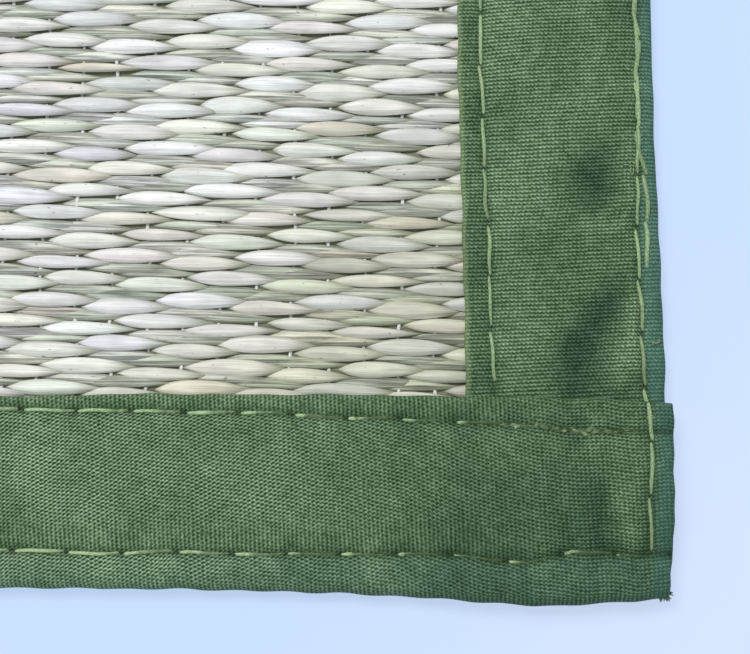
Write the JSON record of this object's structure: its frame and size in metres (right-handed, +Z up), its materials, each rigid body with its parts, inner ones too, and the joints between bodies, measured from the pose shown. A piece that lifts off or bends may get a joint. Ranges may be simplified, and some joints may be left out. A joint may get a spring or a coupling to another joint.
{
  "type": "tatami mat",
  "caption": "Small flat mat of woven rush on cotton warps, its edges bound with strips of green cloth folded over and sewn through.",
  "frame": {"origin": "on the floor under the middle of the mat", "axes": "+Z up out of the mat's upper face, +Y along its length and the warp threads, +X along its width and the rush stems"},
  "size_m": [0.6001, 0.9, 0.0056],
  "materials": {
    "rush": "woven rush stems, dry, with a slight natural gloss",
    "binding_cloth": "plain woven green cotton, matt"
  },
  "bodies": {
    "root": {"rush_panel": "rush", "side_binding_left": "binding_cloth", "side_binding_right": "binding_cloth", "end_binding_near": "binding_cloth", "end_binding_far": "binding_cloth"}
  },
  "joints": []
}
